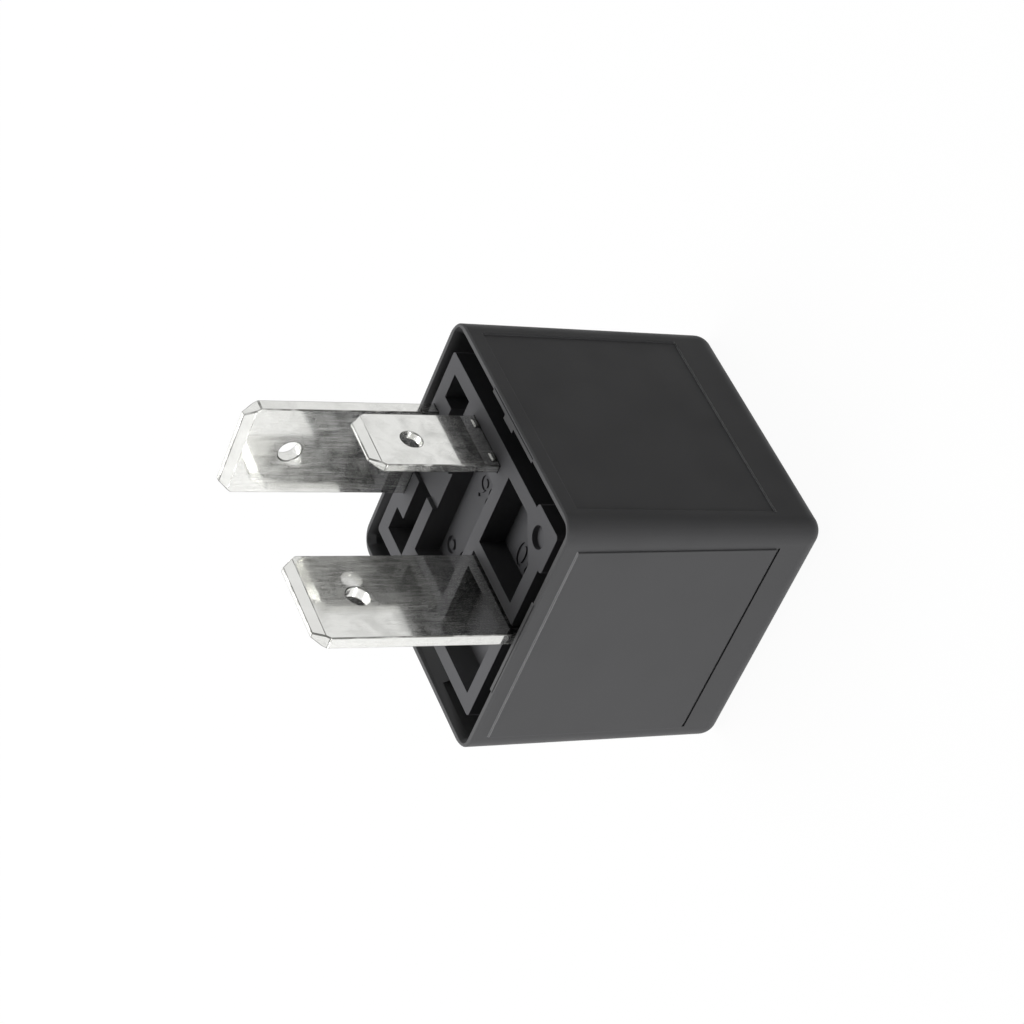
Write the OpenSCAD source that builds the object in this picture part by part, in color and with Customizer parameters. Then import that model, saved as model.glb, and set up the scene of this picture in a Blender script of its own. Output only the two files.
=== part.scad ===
// Plug-in power relay with four blade terminals.
// It stands on the closed end of its cover with the blades pointing up.
// The origin is the middle of the closed end. +Z runs along the blades,
// X runs across the load terminals and Y across the coil terminals.

/* [Cover] */
// Width of the square cover at its open rim
cover_w = 26.7; // [26:0.1:30]
// Height of the cover from its closed end to its rim
cover_h = 25.4; // [24.4:0.1:30]
// Wall at the rim
cover_wall = 0.9; // [0.7:0.05:1.1]
// Step inside the wall that carries the base
ledge_w = 0.5; // [0.4:0.05:0.7]
// Thickness of the closed end
end_wall = 1.2; // [0.8:0.1:1.6]
// Radius of the upright corners and of the closed end's edges
corner_r = 2.1; // [1.8:0.1:3]
// Share of the wall that is left across the corners, which are sharper inside than outside
corner_share = 0.75; // [0.72:0.01:1]
// How far each side leans in between the rim and the closed end
cover_draft = 0.33; // [0.1:0.01:0.5]
// Chamfer round the outside of the rim
rim_chamfer = 0.15; // [0.1:0.05:0.3]
// Share of the wall that the lead-in slope inside the rim takes away
rim_lead_share = 0.4; // [0.3:0.01:0.5]
// Height of that slope
rim_lead_h = 0.75; // [0.4:0.05:1]
// How far the hooks that hold the base stand out of the wall
hook_out = 0.35; // [0.2:0.05:0.4]
// Plain border left and right of the panel on each side
panel_border = 2.5; // [1.5:0.1:4]
// Height of the panels' lower edge above the closed end
panel_foot = 4.6; // [3:0.1:8]
// Distance of the panels' upper edge below the rim
panel_head = 1.4; // [0.8:0.1:3]
// Depth of the sunk panels, and height of the raised ones
panel_step = 0.18; // [0.1:0.01:0.3]

/* [Base] */
// Thickness of the plate that closes the cover
plate_t = 2.0; // [1.4:0.1:2.6]
// Height of the ribbed block above the plate
block_h = 3.9; // [3.2:0.1:4.6]
// Distance of the rib tops below the rim
rib_drop = 0.1; // [0:0.05:0.6]
// Gap between block and cover on the side of the load blade
moat_load = 0.65; // [0.4:0.05:1]
// Gap between block and cover on the side of the common blade
moat_common = 1.1; // [0.9:0.05:1.4]
// Gap between block and cover beside each coil blade
moat_coil = 1.95; // [1.5:0.05:2.4]
// Width of the ribs
rib_w = 1.45; // [1:0.05:1.7]
// Depth of the wide pockets
pocket_d = 2.5; // [1.5:0.1:3]
// Depth of the narrow pockets beside the load blade
well_d = 3.4; // [2:0.1:4.5]
// Width of the narrow trench beside the load blade
trench_w = 1.95; // [1.2:0.05:2.4]
// Half width of the saddle across that trench
saddle_y = 2.05; // [1.2:0.05:2.6]
// Depth of the saddle below the rib tops
saddle_d = 0.45; // [0.2:0.05:0.8]
// Edge length of the keying block on one corner
key_l = 4.2; // [3:0.1:5]
// How far the keying block stands out of the ribbed block
key_out = 0.55; // [0.3:0.05:0.8]
// Diameter of the moulded dimples
dimple_d = 2; // [1.2:0.1:2.4]

/* [Terminals] */
// Width of the two load blades
wide_w = 9.5; // [8.5:0.1:10.2]
// Thickness of the two load blades
wide_t = 1.2; // [0.8:0.05:1.3]
// Length of the load blades above the base
wide_l = 18; // [12:0.5:22]
// Diameter of the detent hole in a load blade
wide_hole_d = 2.1; // [1.4:0.1:3]
// Distance of that hole from the blade's tip
wide_hole_back = 5.4; // [4:0.1:7]
// Width of the two coil blades
narrow_w = 6.3; // [4.8:0.1:6.8]
// Thickness of the two coil blades
narrow_t = 0.8; // [0.6:0.05:1]
// Length of the coil blades above the base
narrow_l = 11.8; // [9:0.1:14]
// Diameter of the detent hole in a coil blade
narrow_hole_d = 1.9; // [1.2:0.1:2.4]
// Distance of that hole from the blade's tip
narrow_hole_back = 4.7; // [3.5:0.1:6]
// Width of the corner cut at a blade's tip
tip_cut_w = 1; // [0.6:0.1:1.6]
// Length of the corner cut at a blade's tip
tip_cut_l = 1.3; // [0.8:0.1:2]
// Length of the coined lead-in across a blade's tip
lead_l = 0.95; // [0.4:0.05:1.2]
// Share of the thickness that the lead-in takes off each face
lead_share = 0.3; // [0.15:0.05:0.4]

/* [Magnet] */
// Thickness of the yoke's strip
yoke_t = 1.6; // [1.2:0.1:2]
// Width of the yoke
yoke_w = 11; // [9:0.1:12]
// Diameter of the core's shaft, as a share of the bobbin's flanges
core_share = 0.445; // [0.35:0.005:0.48]
// Diameter of the core's pole head, as a share of the bobbin's flanges
pole_share = 0.7; // [0.6:0.01:0.8]
// Thickness of the core's pole head
pole_t = 1; // [0.7:0.1:1.4]
// Diameter of the core's riveted end in the yoke, as a share of its shaft
stake_share = 0.7; // [0.5:0.05:0.75]
// Thickness of the bobbin's flanges
flange_t = 1; // [0.7:0.1:1.4]
// Wall of the bobbin's tube
tube_wall = 0.75; // [0.5:0.05:1.1]
// How far the flanges stand out of the winding, as a share of their diameter
lip_share = 0.041; // [0.025:0.001:0.06]
// Thickness of the tape round the winding
tape_t = 0.12; // [0.08:0.01:0.2]
// Diameter of the coil's end wires
lead_d = 0.4; // [0.25:0.05:0.6]

/* [Armature and contacts] */
// Room under the pole face for the armature and its travel
armature_room = 5; // [4.4:0.1:6]
// Thickness of the armature
armature_t = 1.4; // [1:0.1:1.6]
// Width of the armature
armature_w = 10; // [8:0.1:11.5]
// How far the armature reaches past its hinge edge
tail_l = 1.4; // [1:0.1:1.8]
// Angle by which the armature drops open
open_angle = 3; // [2:0.1:3.6]
// Thickness of the contact spring
leaf_t = 0.25; // [0.15:0.01:0.35]
// Thickness of the return spring
return_t = 0.3; // [0.2:0.02:0.4]
// Diameter of the contacts
contact_d = 4.2; // [3:0.1:4.6]
// Height of a contact's head
contact_h = 0.9; // [0.6:0.05:1.2]
// Diameter of the rivets' shanks
rivet_d = 1.6; // [1.2:0.1:2]

/* [Fits] */
// Gap between the base plate and the cover
cover_fit = 0.15; // [0.08:0.01:0.2]
// Gap round a blade in its slot
blade_fit = 0.05; // [0.03:0.01:0.1]
// Gap round a rivet, stake or peg in its hole
pin_fit = 0.03; // [0.02:0.01:0.06]
// Gap between parts that close against each other
close_gap = 0.05; // [0.03:0.01:0.1]

/* [Hidden] */
$fn = 64;
// Overrun of cuts past the faces that they open
cut = 1;

// Cover, seen from the inside
rim_half = cover_w / 2;
inner_half = rim_half - cover_wall;
ledge_half = inner_half - ledge_w;
foot_r = corner_r - cover_draft;
inner_r = max(0.3, corner_r - cover_wall * (sqrt(2) - corner_share) / (sqrt(2) - 1));
rim_lead_w = rim_lead_share * cover_wall;
rim_flat = cover_wall - rim_lead_w - rim_chamfer;
draft_angle = atan2(cover_draft, cover_h - foot_r);

// Levels of the base
rib_z = cover_h - rib_drop;
plate_z1 = rib_z - block_h;
plate_z0 = plate_z1 - plate_t;
plate_half = inner_half - cover_fit;
block_x0 = -(inner_half - moat_load);
block_x1 = inner_half - moat_common;
block_y = inner_half - moat_coil;

// Terminal places: the load blade stands at the block's edge behind a thin wall,
// the common blade ends short of the cover, the coil blades stand behind the outer ribs
load_wall = 0.3;
common_wall_gap = 0.25;
common_slit = 0.2;
common_y = -0.3;
load_x = block_x0 + load_wall + blade_fit + wide_t / 2;
load_face = load_x + wide_t / 2;
common_x1 = inner_half - common_wall_gap;
common_x0 = common_x1 - wide_w;
common_x = (common_x0 + common_x1) / 2;
coil_pin_y = block_y - rib_w - 0.25 - narrow_t / 2;
recess_x0 = load_face + rib_w + trench_w + rib_w;
coil_pin_x = recess_x0 + narrow_w / 2;
pocket_x0 = common_x0 - 0.1;
recess_x1 = pocket_x0 - rib_w;
recess_y = coil_pin_y - narrow_t / 2 - 1.15;
boss_w = 1.75;
boss_y = wide_w / 2 + boss_w;
common_rib = 1.2;

// Legs of the terminals below the base
leg_w = 6;
coil_leg_w = 1.6;
coil_leg_l = 4;
common_leg_in = 0.9;
common_leg_w = 5.4;

// Armature hinge: the outer lower edge of the yoke
return_clear = 0.3;
return_wall_gap = 0.15;
pivot_x = ledge_half - return_wall_gap - return_t - return_clear - tail_l;
pole_z = end_wall + armature_room;
pivot_z = pole_z - close_gap;

// Contacts: the fixed one sits on the load terminal's foot
contact_in = 1.85;
contact_x = load_face + contact_in;
foot_x1 = contact_x + contact_d / 2 - 0.1;
leaf_z = pivot_z - armature_t;
fixed_face_z = leaf_z + contact_h + close_gap;
foot_z = fixed_face_z + contact_h;
contact_shank_d = 2.2;

// Coil: it fills the room between the load terminal's foot and the yoke
coil_gap = 0.65;
yoke_gap = 0.45;
yoke_x0 = pivot_x - yoke_t;
flange_d = (yoke_x0 - yoke_gap) - (foot_x1 + coil_gap);
coil_x = foot_x1 + coil_gap + flange_d / 2;
bobbin_z1 = plate_z0 - yoke_t;
bobbin_z0 = pole_z + pole_t;
core_d = core_share * flange_d;
pole_d = pole_share * flange_d;
stake_d = stake_share * core_d;
tube_d = core_d + 2 * tube_wall;
winding_d = (1 - 2 * lip_share) * flange_d;
tape_r = winding_d / 2 + pin_fit + tape_t;
yoke_toe = pole_d / 2 + 0.8;
peg_d = 1.8;
peg_x = coil_x - stake_d / 2 - 1.7;
peg_y = 3.6;

// Armature outline and springs
arm_x0 = coil_x - flange_d / 2;
neck_x = yoke_x0 - 0.6;
ear_w = 1.2;
ear_l = 1.25;
neck_half = yoke_w / 2 - ear_w - 0.2;
leaf_half = 3.6;
tongue_half = 2.4;
leaf_x1 = neck_x - 1.2;
rivet_edge = 1.25 * rivet_d;
rivet_x = leaf_x1 - rivet_edge;
rivet_y = 2.4;
return_half = 2;
bow_x = pivot_x + tail_l + return_clear + return_t / 2;
lip_z = leaf_z - 2 * close_gap - return_t / 2;
shoulder_l = 2.5;
head_d = 1.8 * rivet_d;
// The return spring's bow starts above the pole face, and its rivets stand clear of the bow
bow_h = 2.2;
return_bend = 1.7 * return_t;
return_rivet_z = [pole_z + bow_h + 0.55 * head_d, pole_z + bow_h + 1.65 * head_d];
return_top_z = pole_z + bow_h + 2.2 * head_d;

// Post in the cover that stops the dropped armature
stop_x = arm_x0 + 1.4;
stop_r = 1.2;
stop_z = pivot_z + (stop_x - stop_r - pivot_x) * tan(open_angle)
    - (armature_t + leaf_t) / cos(open_angle) - close_gap;

// Rectangle with round corners, centred
module round_rect(x, y, r) {
    square([x - 2 * r, y], center = true);
    square([x, y - 2 * r], center = true);
    for (sx = [-1, 1], sy = [-1, 1])
        translate([sx * (x / 2 - r), sy * (y / 2 - r)]) circle(r);
}

// Upright block from corner to corner
module block(x0, x1, y0, y1, z0, z1) {
    translate([x0, y0, z0]) cube([x1 - x0, y1 - y0, z1 - z0]);
}

// Turns the armature's pieces about the hinge edge into the dropped position
module dropped() {
    translate([pivot_x, 0, pivot_z]) rotate([0, -open_angle, 0])
        translate([-pivot_x, 0, -pivot_z]) children();
}

// Half of the cover's section: a leaning side, a round foot and a chamfered rim
module cover_half_section() {
    translate([0, foot_r]) intersection() {
        circle(foot_r);
        translate([0, -foot_r]) square([foot_r, foot_r]);
    }
    polygon([
        [0, foot_r], [foot_r, foot_r],
        [corner_r - rim_chamfer * tan(draft_angle), cover_h - rim_chamfer],
        [corner_r - rim_chamfer, cover_h], [0, cover_h]
    ]);
}

// Square form from z0 to z1 with a half section run round it: corner posts at the distance d, and two slabs
module square_form(d, z0, z1) {
    for (sx = [-1, 1], sy = [-1, 1])
        translate([sx * d, sy * d, 0]) rotate_extrude() children();
    for (a = [0, 90])
        rotate([90, 0, a]) linear_extrude(2 * d, center = true) {
            for (m = [0, 1]) mirror([m, 0]) translate([d, 0]) children();
            translate([-d, z0]) square([2 * d, z1 - z0]);
        }
}

// Outer form of the cover
module cover_body() square_form(rim_half - corner_r, 0, cover_h) cover_half_section();

// Flared mouth that leads the base into the cover
module cover_mouth() {
    z0 = cover_h - rim_lead_h;
    over = 0.2;
    z1 = cover_h + over * rim_lead_h;
    square_form(inner_half - inner_r, z0, z1)
        polygon([[0, z0], [inner_r, z0], [inner_r + (1 + over) * rim_lead_w, z1], [0, z1]]);
}

// Room inside the cover, narrower below the ledge and chamfered at its floor
module cover_room() {
    floor_cut = 1.2;
    translate([0, 0, plate_z0])
        linear_extrude(cover_h - plate_z0 + cut) round_rect(2 * inner_half, 2 * inner_half, inner_r);
    intersection() {
        translate([0, 0, end_wall])
            linear_extrude(plate_z0 - end_wall + cut)
                round_rect(2 * ledge_half, 2 * ledge_half, inner_r);
        for_both_axes() polygon([
            [-ledge_half + floor_cut, end_wall], [ledge_half - floor_cut, end_wall],
            [ledge_half, end_wall + floor_cut], [ledge_half, plate_z0 + cut],
            [-ledge_half, plate_z0 + cut], [-ledge_half, end_wall + floor_cut]
        ]);
    }
}

// Common part of a section run along X and the same section run along Y
module for_both_axes() {
    intersection() {
        rotate([90, 0, 0]) linear_extrude(2 * cover_w, center = true) children();
        rotate([90, 0, 90]) linear_extrude(2 * cover_w, center = true) children();
    }
}

// Flat slab that follows the leaning side at angle a: it reaches from d_in inside the
// side to d_out outside it, over the panel's height
module side_panel(a, d_in, d_out) {
    panel_half = rim_half - panel_border;
    rotate([0, 0, a]) translate([0, -rim_half, cover_h]) rotate([draft_angle, 0, 0])
        translate([-panel_half, -d_out, panel_foot - cover_h])
            cube([2 * panel_half, d_out + d_in, cover_h - panel_foot - panel_head]);
}

// Hook over the base plate on the side at angle a, between two places along that side.
// Its slope runs up to the rim, and a full one also fills the mouth up to the rim's top.
module hook(a, from, to, full) {
    z0 = plate_z1 + close_gap;
    slope_z = cover_h - 1.7 * rim_lead_h;
    root = inner_half + cover_wall / 5;
    crest = inner_half + rim_lead_w;
    fill = inner_half + rim_lead_w / 3;
    foot = [[root, z0], [inner_half - hook_out, z0], [inner_half - hook_out, slope_z]];
    top = full
        ? [[fill, cover_h - rim_lead_h / 2], [fill, cover_h], [crest + rim_flat / 5, cover_h]]
        : [[crest, cover_h - rim_lead_h / 5]];
    rotate([0, 0, a]) translate([0, to, 0]) rotate([90, 0, 0])
        linear_extrude(to - from) polygon(concat(foot, top));
}

// Fine groove along the rim's top that sets a full hook off from the outer wall
module hook_groove(a, from, to) {
    d0 = inner_half + rim_lead_w + rim_flat / 3;
    rotate([0, 0, a]) block(d0, d0 + rim_flat / 4, from, to, cover_h - rim_flat / 5, cover_h + cut);
}

module cover() {
    // Angle of each hook's side, its ends along the side, and whether it fills the mouth
    hooks = [[0, -5.8, 4.5, true], [90, -4.7, 4.2, true], [180, -5, 5, false], [270, -5, 5.5, false]];
    blade_room = wide_t / 2 + 0.4;
    tab_half = 0.95;
    tab_x = -0.35;
    tab_out = 0.3;
    color("#3a3a3a") difference() {
        union() {
            difference() {
                union() {
                    cover_body();
                    for (a = [90, 270]) side_panel(a, cover_wall / 2, panel_step);
                }
                cover_room();
                cover_mouth();
                for (a = [0, 180]) side_panel(a, panel_step, cut);
            }
            for (h = hooks) hook(h[0], h[1], h[2], h[3]);
            // Small tab inside one rim
            block(tab_x - tab_half, tab_x + tab_half, inner_half - tab_out, inner_half + rim_lead_w / 2,
                cover_h - 2 * tab_out, cover_h);
            // Stop post on the closed end
            translate([stop_x, 0, end_wall - 0.2]) cylinder(r = stop_r, h = stop_z - end_wall + 0.2);
        }
        for (h = hooks) if (h[3]) hook_groove(h[0], h[1], h[2]);
        // Room for the common blade in the hook beside it
        block(common_x1 - cut, common_x1 + blade_fit, common_y - blade_room, common_y + blade_room,
            plate_z1, cover_h + cut);
    }
}

// Ribbed block with its pockets, seen in plan
module base_pockets() {
    pocket_x1 = block_x1 - rib_w;
    pocket_y1 = block_y - rib_w;
    pocket_z = rib_z - pocket_d;
    well_z = rib_z - well_d;
    well_x0 = block_x0 + rib_w;
    well_x1 = recess_x0 - rib_w;
    key_fill = 1.5 * dimple_d;
    top = rib_z + cut;
    // Wide pockets on both sides of the common blade, one with a cut corner that carries a dimple
    pocket_y0 = common_y + wide_t / 2 + common_slit + common_rib;
    translate([0, 0, pocket_z]) linear_extrude(top - pocket_z) polygon([
        [pocket_x0, pocket_y0], [pocket_x1, pocket_y0], [pocket_x1, pocket_y1 - key_fill],
        [pocket_x1 - key_fill, pocket_y1], [pocket_x0, pocket_y1]
    ]);
    block(pocket_x0, pocket_x1, -pocket_y1, common_y - wide_t / 2 - blade_fit - common_rib, pocket_z, top);
    // Recess between the coil blades
    block(recess_x0, recess_x1, -recess_y, recess_y, pocket_z, top);
    // Wells at both ends of the load blade, each with a trench beside the blade
    for (m = [0, 1]) mirror([0, m, 0]) {
        block(well_x0, well_x1, boss_y, pocket_y1, well_z, top);
        block(well_x1 - trench_w, well_x1, saddle_y, boss_y + cut, well_z, top);
        // Ring sunk in the recess floor
        translate([recess_x0 + 1.3, recess_y - 1.75, pocket_z - 0.3]) difference() {
            cylinder(d = 0.8 * dimple_d, h = cut);
            cylinder(d = 0.45 * dimple_d, h = cut);
        }
    }
    // Saddle across the trench
    block(load_face, recess_x0 + 0.01, -saddle_y, saddle_y, rib_z - saddle_d, top);
    // Dimple in the keying block
    translate([block_x1 + key_out - key_l / 2 - 0.25, block_y + key_out - key_l / 2 - 0.1, rib_z - 0.5])
        cylinder(d = dimple_d, h = cut + 0.5);
}

// Slots for the blades in the block, and for the legs through the plate
module base_slots() {
    f = blade_fit;
    top = rib_z + cut;
    block(load_x - wide_t / 2 - f, load_face + f, -wide_w / 2 - f, wide_w / 2 + f, plate_z1, top);
    block(load_x - wide_t / 2 - f, load_face + f, -leg_w / 2 - f, leg_w / 2 + f,
        plate_z0 - cut, plate_z1 + f);
    block(common_x0 - 0.3, common_x1 + f, common_y - wide_t / 2 - f,
        common_y + wide_t / 2 + common_slit, plate_z1, top);
    block(common_x0 + common_leg_in - f, common_x0 + common_leg_in + common_leg_w + f,
        common_y - wide_t / 2 - f, common_y + wide_t / 2 + f, plate_z0 - cut, plate_z1 + f);
    for (m = [0, 1]) mirror([0, m, 0]) {
        block(coil_pin_x - narrow_w / 2 - f, coil_pin_x + narrow_w / 2 + f,
            coil_pin_y - narrow_t / 2 - f, coil_pin_y + narrow_t / 2 + f, plate_z1, top);
        block(coil_pin_x - coil_leg_w / 2 - f, coil_pin_x + coil_leg_w / 2 + f,
            coil_pin_y - narrow_t / 2 - f, coil_pin_y + narrow_t / 2 + f, plate_z0 - cut, plate_z1 + f);
    }
}

module base() {
    edge_r = 0.4;
    color("#6a6a6a") difference() {
        union() {
            translate([0, 0, plate_z0]) linear_extrude(plate_t)
                round_rect(2 * plate_half, 2 * plate_half, inner_r - cover_fit);
            translate([(block_x0 + block_x1) / 2, 0, plate_z1 - 0.5]) linear_extrude(block_h + 0.5)
                round_rect(block_x1 - block_x0, 2 * block_y, edge_r);
            translate([block_x1 + key_out - key_l / 2, block_y + key_out - key_l / 2, plate_z1 - 0.5])
                linear_extrude(block_h + 0.5) round_rect(key_l, key_l, edge_r);
            // Pegs that place the yoke
            for (s = [-1, 1])
                translate([peg_x, s * peg_y, bobbin_z1 + close_gap])
                    cylinder(d = peg_d, h = yoke_t + plate_t / 2);
        }
        base_pockets();
        base_slots();
    }
}

// Takes the coined lead-in off both faces of a blade of width w and thickness t.
// The blade's tip runs along X through the origin and faces +Z.
module lead_in(w, t) {
    lead_t = lead_share * t;
    for (m = [0, 1]) mirror([0, m, 0])
        translate([0, t / 2, -lead_l]) rotate([atan2(lead_t, lead_l), 0, 0])
            translate([-w, 0, 0]) cube([2 * w, t, 3 * lead_l]);
}

// Blade standing in the XZ plane, from the plate up to its tip
module blade(w, t, l, hole_d, hole_back) {
    tip = rib_z + l;
    difference() {
        rotate([90, 0, 0]) linear_extrude(t, center = true) polygon([
            [-w / 2, plate_z1], [w / 2, plate_z1], [w / 2, tip - tip_cut_l],
            [w / 2 - tip_cut_w, tip], [-w / 2 + tip_cut_w, tip], [-w / 2, tip - tip_cut_l]
        ]);
        translate([0, 0, tip]) lead_in(w, t);
        translate([0, 0, tip - hole_back]) rotate([90, 0, 0])
            cylinder(d = hole_d, h = t + 2 * cut, center = true);
    }
}

// Load blade of the switched side: its leg runs down inside and turns into the contact's foot
module terminal_87() {
    bend_r = 0.6;
    x0 = load_x - wide_t / 2;
    color("#d9d9d6") difference() {
        union() {
            translate([load_x, 0, 0]) rotate([0, 0, 90])
                blade(wide_w, wide_t, wide_l, wide_hole_d, wide_hole_back);
            rotate([90, 0, 0]) linear_extrude(leg_w, center = true) union() {
                translate([x0, foot_z + bend_r]) square([wide_t, plate_z1 - foot_z - bend_r]);
                translate([x0 + bend_r, foot_z]) square([foot_x1 - x0 - bend_r, wide_t]);
                translate([x0 + bend_r, foot_z + bend_r]) circle(bend_r);
            }
        }
        translate([contact_x, 0, foot_z - cut])
            cylinder(d = contact_shank_d + 2 * pin_fit, h = wide_t + 2 * cut);
    }
}

// Load blade of the common side: its leg stands on the yoke
module terminal_30() {
    color("#d9d9d6") {
        translate([common_x, common_y, 0])
            blade(wide_w, wide_t, wide_l, wide_hole_d, wide_hole_back);
        block(common_x0 + common_leg_in, common_x0 + common_leg_in + common_leg_w,
            common_y - wide_t / 2, common_y + wide_t / 2, plate_z0, plate_z1 + 0.5);
    }
}

// Coil blade with two stake nibs on its outer face and a narrow leg for the coil's wire
module coil_terminal() {
    nib = [0.9, 0.12, 0.35];
    nib_z = rib_z + 0.15;
    color("#d9d9d6") translate([coil_pin_x, coil_pin_y, 0]) {
        blade(narrow_w, narrow_t, narrow_l, narrow_hole_d, narrow_hole_back);
        translate([-coil_leg_w / 2, -narrow_t / 2, plate_z0 - coil_leg_l])
            cube([coil_leg_w, narrow_t, plate_t + coil_leg_l + 0.5]);
        for (s = [-1, 1])
            translate([s * narrow_w / 3 - nib[0] / 2, 0, nib_z])
                cube([nib[0], narrow_t / 2 + nib[1], nib[2]]);
    }
}

module terminal_86() coil_terminal();

module terminal_85() mirror([0, 1, 0]) coil_terminal();

// Bobbin on the core between the yoke and the pole head
module bobbin() {
    color("#efe9d8") translate([coil_x, 0, 0]) difference() {
        union() {
            translate([0, 0, bobbin_z0]) cylinder(d = flange_d, h = flange_t);
            translate([0, 0, bobbin_z0]) cylinder(d = tube_d, h = bobbin_z1 - bobbin_z0);
            translate([0, 0, bobbin_z1 - flange_t]) cylinder(d = flange_d, h = flange_t);
        }
        translate([0, 0, bobbin_z0 - cut])
            cylinder(d = core_d + 2 * pin_fit, h = bobbin_z1 - bobbin_z0 + 2 * cut);
    }
}

// Sleeve round the coil's axis between the flanges
module coil_sleeve(r0, r1) {
    translate([coil_x, 0, bobbin_z0 + flange_t + close_gap]) difference() {
        h = bobbin_z1 - bobbin_z0 - 2 * (flange_t + close_gap);
        cylinder(r = r1, h = h);
        translate([0, 0, -cut]) cylinder(r = r0, h = h + 2 * cut);
    }
}

module coil_winding() color("#a8552a") coil_sleeve(tube_d / 2 + pin_fit, winding_d / 2);

module coil_tape() color("#c9a227") coil_sleeve(winding_d / 2 + pin_fit, tape_r);

// Core: pole head below, shaft in the bobbin, riveted end in the yoke
module core() {
    color("#8f9296") translate([coil_x, 0, 0]) rotate_extrude() polygon([
        [0, pole_z], [pole_d / 2 - 0.3, pole_z], [pole_d / 2, pole_z + 0.3],
        [pole_d / 2, bobbin_z0], [core_d / 2, bobbin_z0], [core_d / 2, bobbin_z1],
        [stake_d / 2, bobbin_z1], [stake_d / 2, plate_z0], [0, plate_z0]
    ]);
}

// Angle of the magnet frame, with two ears that keep the armature sideways
module yoke() {
    bend_r = 1;
    toe_x = coil_x - yoke_toe;
    color("#8f9296") difference() {
        union() {
            rotate([90, 0, 0]) linear_extrude(yoke_w, center = true) union() {
                translate([yoke_x0, pole_z]) square([yoke_t, plate_z0 - bend_r - pole_z]);
                translate([toe_x, bobbin_z1]) square([pivot_x - bend_r - toe_x, yoke_t]);
                translate([pivot_x - bend_r, plate_z0 - bend_r]) circle(bend_r);
            }
            for (s = [-1, 1])
                translate([yoke_x0, s * (yoke_w - ear_w) / 2 - ear_w / 2, pole_z - ear_l])
                    cube([yoke_t, ear_w, ear_l + 0.5]);
        }
        translate([coil_x, 0, bobbin_z1 - cut])
            cylinder(d = stake_d + 2 * pin_fit, h = yoke_t + 2 * cut);
        for (s = [-1, 1])
            translate([peg_x, s * peg_y, bobbin_z1 - cut])
                cylinder(d = peg_d + 2 * pin_fit, h = yoke_t + 2 * cut);
        for (z = return_rivet_z)
            translate([yoke_x0 - cut, 0, z]) rotate([0, 90, 0])
                cylinder(d = rivet_d + 2 * pin_fit, h = yoke_t + 2 * cut);
    }
}

// Armature plate: free end over the contact side, neck between the yoke's ears, tail past the hinge
module armature() {
    nose = 1.5;
    half = armature_w / 2;
    color("#9a9da1") dropped() difference() {
        translate([0, 0, leaf_z]) linear_extrude(armature_t) polygon([
            [arm_x0, -half + nose], [arm_x0 + nose, -half], [neck_x, -half], [neck_x, -neck_half],
            [pivot_x + tail_l, -neck_half], [pivot_x + tail_l, neck_half], [neck_x, neck_half],
            [neck_x, half], [arm_x0 + nose, half], [arm_x0, half - nose]
        ]);
        for (s = [-1, 1])
            translate([rivet_x, s * rivet_y, leaf_z - cut])
                cylinder(d = rivet_d + 2 * pin_fit, h = armature_t + 2 * cut);
    }
}

// Flat spring under the armature whose tongue carries the moving contact
module contact_spring() {
    shoulder_x = arm_x0 + shoulder_l;
    color("#c98f4e") dropped() difference() {
        translate([0, 0, leaf_z - leaf_t]) linear_extrude(leaf_t) {
            polygon([
                [contact_x, -tongue_half], [arm_x0, -tongue_half], [shoulder_x, -leaf_half],
                [leaf_x1, -leaf_half], [leaf_x1, leaf_half], [shoulder_x, leaf_half],
                [arm_x0, tongue_half], [contact_x, tongue_half]
            ]);
            translate([contact_x, 0]) circle(tongue_half);
        }
        for (s = [-1, 1])
            translate([rivet_x, s * rivet_y, leaf_z - leaf_t - cut])
                cylinder(d = rivet_d + 2 * pin_fit, h = leaf_t + 2 * cut);
        translate([contact_x, 0, leaf_z - leaf_t - cut])
            cylinder(d = contact_shank_d + 2 * pin_fit, h = leaf_t + 2 * cut);
    }
}

// Contact rivet in a strip of thickness t: the head stands up from z, the closing head lies below
module contact_rivet(t) {
    close_h = 0.4;
    rotate_extrude() polygon([
        [0, -t - close_h], [contact_shank_d / 2 + 0.4, -t - close_h], [contact_shank_d / 2 + 0.4, -t],
        [contact_shank_d / 2, -t], [contact_shank_d / 2, 0], [contact_d / 2, 0],
        [contact_d / 2, contact_h - 0.25], [contact_d / 2 - 0.4, contact_h], [0, contact_h]
    ]);
}

module moving_contact()
    color("#dcdcd8") dropped() translate([contact_x, 0, leaf_z]) contact_rivet(leaf_t);

module fixed_contact()
    color("#dcdcd8") translate([contact_x, 0, foot_z]) mirror([0, 0, 1]) contact_rivet(wide_t);

// Points of the return spring's middle line, from its top on the yoke to its lip under the tail
function return_line() = [
    [pivot_x + return_t / 2, return_top_z], [pivot_x + return_t / 2, pole_z + bow_h],
    [bow_x - 0.7 * return_bend, pole_z + 1.5 * return_bend], [bow_x, pole_z + return_bend / 5],
    [bow_x, lip_z + return_bend], [bow_x - 0.3 * return_bend, lip_z + 0.3 * return_bend],
    [bow_x - return_bend, lip_z], [pivot_x + tail_l / 7, lip_z]
];
// Unit normal of the line at point i, halved between its two stretches
function line_dir(p, i, j) = (p[j] - p[i]) / norm(p[j] - p[i]);
function line_side(p, i) = let (
        a = i == 0 ? line_dir(p, 0, 1) : line_dir(p, i - 1, i),
        b = i == len(p) - 1 ? a : line_dir(p, i, i + 1),
        n = [-(a + b)[1], (a + b)[0]]
    ) n / norm(n) / cos(acos(min(1, a * b)) / 2);
// Closed outline of a strip of thickness t along the line
function strip(p, t) = concat(
    [for (i = [0 : len(p) - 1]) p[i] + line_side(p, i) * t / 2],
    [for (i = [len(p) - 1 : -1 : 0]) p[i] - line_side(p, i) * t / 2]
);

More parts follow.
